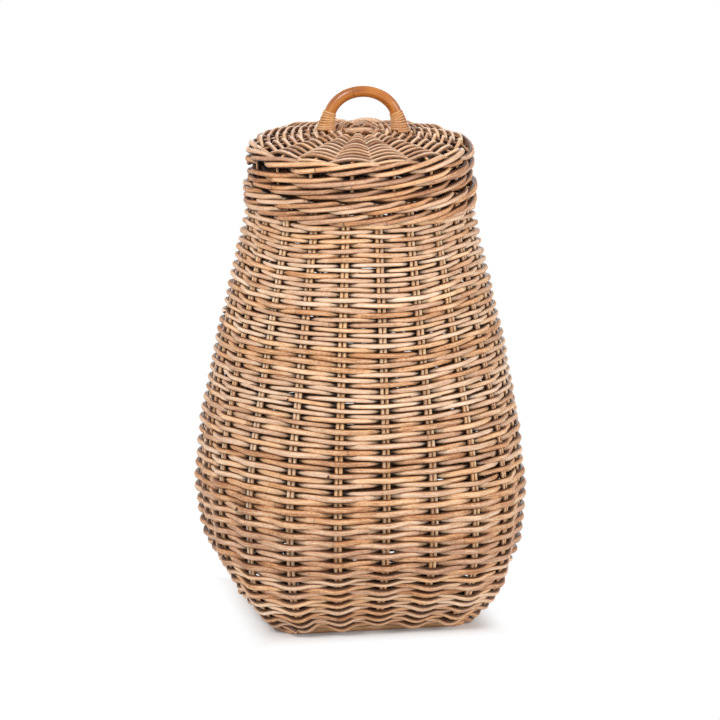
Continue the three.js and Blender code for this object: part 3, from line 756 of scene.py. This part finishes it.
def lidCentrePiece():
    rng = np.random.default_rng(lidCentre["seed"])
    strands = []
    for number, radius in enumerate(lidCentre["radii"]):
        angle = rng.uniform(*anyAngle) + np.linspace(0, 2 * math.pi * lidCentre["closed"], lidCentre["steps"])
        fromRod = angle - lidShape["turn"] - math.pi / lidShape["rods"]
        swing = np.cos(lidShape["rods"] / 4 * fromRod + math.pi * number)
        offset = lidCentre["reach"] * np.sign(swing) * np.abs(swing) ** lidCentre["bulge"]
        wander = radius + lidCentre["wander"] * waves(angle, rng)
        path = np.stack([wander * np.cos(angle), wander * np.sin(angle), crownAt(radius) + offset], 1)
        strands.append(strandOf(path, allUp(len(path)), lidCentre["strand"] / 2, lidCentre["sides"],
                                tone=rng.uniform(), offset=offset))
    pieceOf("lidCentre", strands, lidLook, "lid", [])


lidCentrePiece()
print("lid woven")

# hoop inside the lid's edge: three thin poles bent round, one on another
lidHoop = dict(inset=0.0042, joint=0.02, flat=0.85, tones=(0.2, 0.45, 0.7), steps=120, sides=10)


def lidHoopPiece():
    low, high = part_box("lid_locating_hoop")
    radius = (high.x - low.x) / 2 - lidHoop["inset"]
    tall = (high.z - low.z) / len(lidHoop["tones"])
    angle = np.linspace(lidHoop["joint"], 2 * math.pi - lidHoop["joint"], lidHoop["steps"])
    strands = []
    for pole, tone in enumerate(lidHoop["tones"]):
        height = low.z + tall * (pole + 0.5)
        path = np.stack([radius * np.cos(angle), radius * np.sin(angle), height + 0 * angle], 1)
        strands.append(strandOf(path, unit(path * [1, 1, 0]), tall / 2, lidHoop["sides"],
                                flat=lidHoop["flat"], tone=tone))
    pieceOf("lidHoop", strands, poleLook, "lid", ["lid_locating_hoop"])


lidHoopPiece()

# handle: a thick cane bent in an arch and varnished
handleCane = dict(diameter=0.0148, span=0.089, shift=0.0038, rise=0.0415, turn=math.radians(-10), arch=0.97,
                  sink=0.004, lumps=0.018, lumpy=9, legCuts=7, steps=72, sides=20, seed=4)
handleVarnish = dict(
    dark=(124, 60, 19), mid=(180, 106, 43), light=(214, 148, 76), stops=(0.25, 0.5, 0.75),
    streakScale=16, cloudScale=(22, 2.2), streakShare=0.75, cloudShare=0.5, darker=0.12,
    ringEvery=0.071, ringFirst=0.2, ringWander=0.05, ringEdge=(0.0012, 0.0003), ringColour=(104, 54, 24),
    ringShare=0.45, relief=0.6, bump=0.12, bumpDepth=0.0006,
    roughFrom=(0.3, 0.7), roughness=(0.3, 0.42), coat=0.32, coatRoughness=0.14, gloss=0.3,
)
handleFacing = np.array([math.sin(handleCane["turn"]), -math.cos(handleCane["turn"]), 0.0])


def handleLine():
    low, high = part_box("lid_handle")
    turn, half, legCuts = handleCane["turn"], handleCane["span"] / 2, handleCane["legCuts"]
    legTop = high.z - handleCane["diameter"] / 2 - handleCane["rise"]
    angle = np.linspace(0, math.pi, handleCane["steps"])
    arch = half * np.sign(np.cos(angle)) * np.abs(np.cos(angle)) ** handleCane["arch"]
    reach = np.concatenate([np.full(legCuts, half), arch, np.full(legCuts, -half)]) + handleCane["shift"]
    legs = np.linspace(low.z - handleCane["sink"], legTop, legCuts + 1)[:-1]
    height = np.concatenate([legs, legTop + handleCane["rise"] * np.sin(angle), legs[::-1]])
    return np.stack([reach * math.cos(turn), reach * math.sin(turn), height], 1)


def varnishedCane(name):
    cane = handleVarnish
    look = Look(bpy.data.materials.new(name))
    along, around = look.strandMap()
    streak = look.noise(along * cane["streakScale"], around * cane["streakScale"], 2.3,
                        detail=4.0, rough=0.62)
    cloud = look.noise(along * cane["cloudScale"][0], around * cane["cloudScale"][1], 5.9, detail=2.0)
    level = streak * cane["streakShare"] + cloud * cane["cloudShare"] - cane["darker"]
    body = look.ramp(level, cane["stops"], (cane["dark"], cane["mid"], cane["light"]))
    place = (along / cane["ringEvery"] + cane["ringFirst"] + cloud * cane["ringWander"]) % 1
    line = look.smooth(abs(place - 0.5) * cane["ringEvery"], *cane["ringEdge"])
    body = look.mix(line * cane["ringShare"], body, paint(*cane["ringColour"]))
    height = streak * cane["relief"] - line * cane["relief"]
    normal = look.add("ShaderNodeBump", {},
                      {"Strength": cane["bump"], "Distance": cane["bumpDepth"], "Height": height})
    look.join(look.shader, {
        "Base Color": body, "Normal": normal, "Specular IOR Level": cane["gloss"],
        "Roughness": look.smooth(streak, *cane["roughFrom"], *cane["roughness"]),
        "Coat Weight": cane["coat"], "Coat Roughness": cane["coatRoughness"],
    })
    return look.owner


handleLook = varnishedCane("handleCane")


def handlePiece():
    rng = np.random.default_rng(handleCane["seed"])
    path = handleLine()
    lumps = handleCane["lumps"] * waves(np.linspace(0, handleCane["lumpy"], len(path)), rng)
    backward = np.tile(-handleFacing, (len(path), 1))
    strand = strandOf(path, backward, handleCane["diameter"] / 2 * (1 + lumps), handleCane["sides"])
    pieceOf("handle", [strand], handleLook, "lid", ["lid_handle"])


handlePiece()

# lashings: split cane wound round the feet of the handle, wider where it goes down into the lid
lashCane = dict(turns=8.2, width=0.0034, flat=0.45, low=0.0022, tall=0.0235, flare=0.009, flareOver=0.022,
                flarePower=1.3, lopsided=0.45, uneven=0.0002, unevenScale=6, tones=(0.4, 0.7),
                steps=22, sides=8, seed=9)
lashingCane = dict(dark=(158, 104, 56), mid=(196, 144, 88), light=(216, 168, 110), pale=(230, 188, 134),
                   ringEvery=0.5, roughness=0.42, shade=0.0)
lashLook = rattanLook("lashingCane", **lashingCane)


def lashings():
    rng = np.random.default_rng(lashCane["seed"])
    line = handleLine()
    pace = paceOf(line)

    def onHandle(place):
        return np.stack([np.interp(place, pace, line[:, axis]) for axis in range(3)], 1)

    walk = np.arange(int(lashCane["turns"] * lashCane["steps"])) / lashCane["steps"]
    angle = 2 * math.pi * walk
    climb = lashCane["low"] + lashCane["tall"] * walk / walk[-1]
    for name, place, sign in (("right", climb, 1), ("left", pace[-1] - climb, -1)):
        middle = onHandle(place)
        side = unit(np.cross(unit(onHandle(place + littleWay) - middle), handleFacing))
        away = sign * np.sin(angle)
        outward = np.cos(angle)[:, None] * handleFacing + away[:, None] * side
        # the flare is mostly on the side away from the arch
        flare = lashCane["flare"] * fade(climb, lashCane["flareOver"]) ** lashCane["flarePower"]
        flare = flare * (1 - lashCane["lopsided"] * (1 - away))
        uneven = lashCane["uneven"] * waves(walk * lashCane["unevenScale"], rng)
        reach = (handleCane["diameter"] + lashCane["width"] * lashCane["flat"]) / 2 + flare + uneven
        path = middle + outward * reach[:, None]
        strand = strandOf(path, outward, lashCane["width"] / 2, lashCane["sides"],
                          flat=lashCane["flat"], tone=rng.uniform(*lashCane["tones"]))
        pieceOf(f"handleLashing.{name}", [strand], lashLook, "lid",
                [f"handle_lashing_{name}"])


lashings()
print("handle lashed on")

# base: a square pole hoop, ribs across it, and strands laid to and fro
baseHoop = dict(half=0.122, corner=0.022, width=0.0125, height=0.0112, ends=(0.03, 1.0298), tone=0.45,
                steps=240, sides=14, seed=31)
baseFill = dict(ribs=5, rib=0.005, bend=0.0008, bendScale=30, ribSteps=40, passes=22, strand=0.0058,
                wide=1.12, flat=0.62, wander=0.0005, lift=0.0042, middle=0.007, inner=0.107, margin=0.003,
                cuts=8, sides=8)


def baseHoopPiece():
    inset = baseHoop["half"] - baseHoop["width"] / 2
    corner = baseHoop["corner"] - baseHoop["width"] / 2
    radius = baseHoop["height"] / 2

    def hoopAt(share):
        return np.stack([*squareAt(share, inset, corner), np.full(len(share), radius)], 1)

    share = np.linspace(*baseHoop["ends"], baseHoop["steps"])
    path = hoopAt(share)
    outward = unit(np.cross(hoopAt(share + littleWay) - path, [0, 0, 1]))
    hoop = strandOf(path, outward, radius, baseHoop["sides"],
                    flat=baseHoop["width"] / baseHoop["height"], tone=baseHoop["tone"])
    pieceOf("baseHoop", [hoop], poleLook, "basket", ["base_frame"])


def baseFilling():
    fill, ribs = baseFill, baseFill["ribs"]
    rng = np.random.default_rng(baseHoop["seed"])
    spacing = 2 * fill["inner"] / (ribs + 1)
    x = np.linspace(-1, 1, fill["ribSteps"]) * (fill["inner"] + fill["margin"])
    for rib in range(ribs):
        y = (rib - (ribs - 1) / 2) * spacing + fill["bend"] * waves(x * fill["bendScale"], rng)
        path = np.stack([x, y, np.full(len(x), fill["middle"])], 1)
        strand = strandOf(path, allUp(len(path)), fill["rib"] / 2, fill["sides"], tone=rng.uniform())
        pieceOf(f"baseRib.{rib + 1}", [strand], rodLook, "basket", [f"base_rib_{rib + 1}"])

    strands = []
    upright = np.arange(2 - fill["cuts"], ribs * fill["cuts"] - 1) / fill["cuts"]
    y = (upright - (ribs - 1) / 2) * spacing
    rows = (np.arange(fill["passes"]) + 0.5) / fill["passes"] * 2 - 1
    for number, row in enumerate(rows):
        x = row * (fill["inner"] - fill["margin"]) + fill["wander"] * waves(upright, rng)
        z = fill["middle"] + fill["lift"] * np.cos(math.pi * (upright + number))
        strands.append(strandOf(np.stack([x, y, z], 1), allUp(len(y)), fill["strand"] / 2 * fill["wide"],
                                fill["sides"], flat=fill["flat"], tone=rng.uniform()))
    pieceOf("baseWeave", strands, weaverLook, "basket", ["base_weaver"])


baseHoopPiece()
baseFilling()
print("base made")

# floor, light and background. A lamp is its power, its place and its size. The floor shows the hamper's
# soft shadow as far as near, and is plain white from far on
studio = dict(
    floorHalf=14.0, floorDrop=0.0004, floorColour=(238, 238, 238), floorRough=0.9, floorGloss=0.1,
    near=0.125, far=0.172, whiteNear=0.12, sky=0.40, aim=(0, 0, 0.32),
    lamps=dict(keyLight=(137, (-2.5, -2.5, 3.2), 1.5), fillLight=(58, (2.6, -2.1, 1.5), 1.3),
               backLight=(54, (0.7, 3.3, 1.3), 1.8)),
)
white = (1, 1, 1, 1)


def floorPiece():
    half, level = studio["floorHalf"], -studio["floorDrop"]
    mesh = bpy.data.meshes.new("floor")
    corners = [(x * half, y * half, level) for x, y in ((-1, -1), (1, -1), (1, 1), (-1, 1))]
    mesh.from_pydata(corners, [], [(0, 1, 2, 3)])
    floor = bpy.data.objects.new("floor", mesh)
    scene.collection.objects.link(floor)
    look = Look(bpy.data.materials.new("paleFloor"))
    look.join(look.shader, {"Base Color": paint(*studio["floorColour"]), "Roughness": studio["floorRough"],
                            "Specular IOR Level": studio["floorGloss"]})
    where = look.add("ShaderNodeNewGeometry")
    x, y = look.add("ShaderNodeSeparateXYZ", {}, {0: where}, out=(0, 1))
    away = look.add("ShaderNodeMath", {"operation": "MAXIMUM"}, {0: abs(x), 1: abs(y)})
    share = look.smooth(away, studio["near"], studio["far"], studio["whiteNear"], 1.0)
    look.seenAs(look.add("ShaderNodeEmission", {}, {"Color": white, "Strength": 1.0}), share)
    mesh.materials.append(look.owner)


def lights():
    scene.world = bpy.data.worlds.new("studio")
    look = Look(scene.world, "Background", "World Output")
    look.join(look.shader, {"Color": white, "Strength": studio["sky"]})
    look.seenAs(look.add("ShaderNodeBackground", {}, {"Color": white, "Strength": 1.0}))
    for name, (power, place, size) in studio["lamps"].items():
        data = bpy.data.lights.new(name, "AREA")
        data.energy, data.size = power, size
        lamp = bpy.data.objects.new(name, data)
        lamp.location = place
        lamp.rotation_euler = (Vector(studio["aim"]) - Vector(place)).to_track_quat("-Z", "Y").to_euler()
        scene.collection.objects.link(lamp)


floorPiece()
lights()
scene.view_settings.view_transform = "Standard"
print("studio lit")
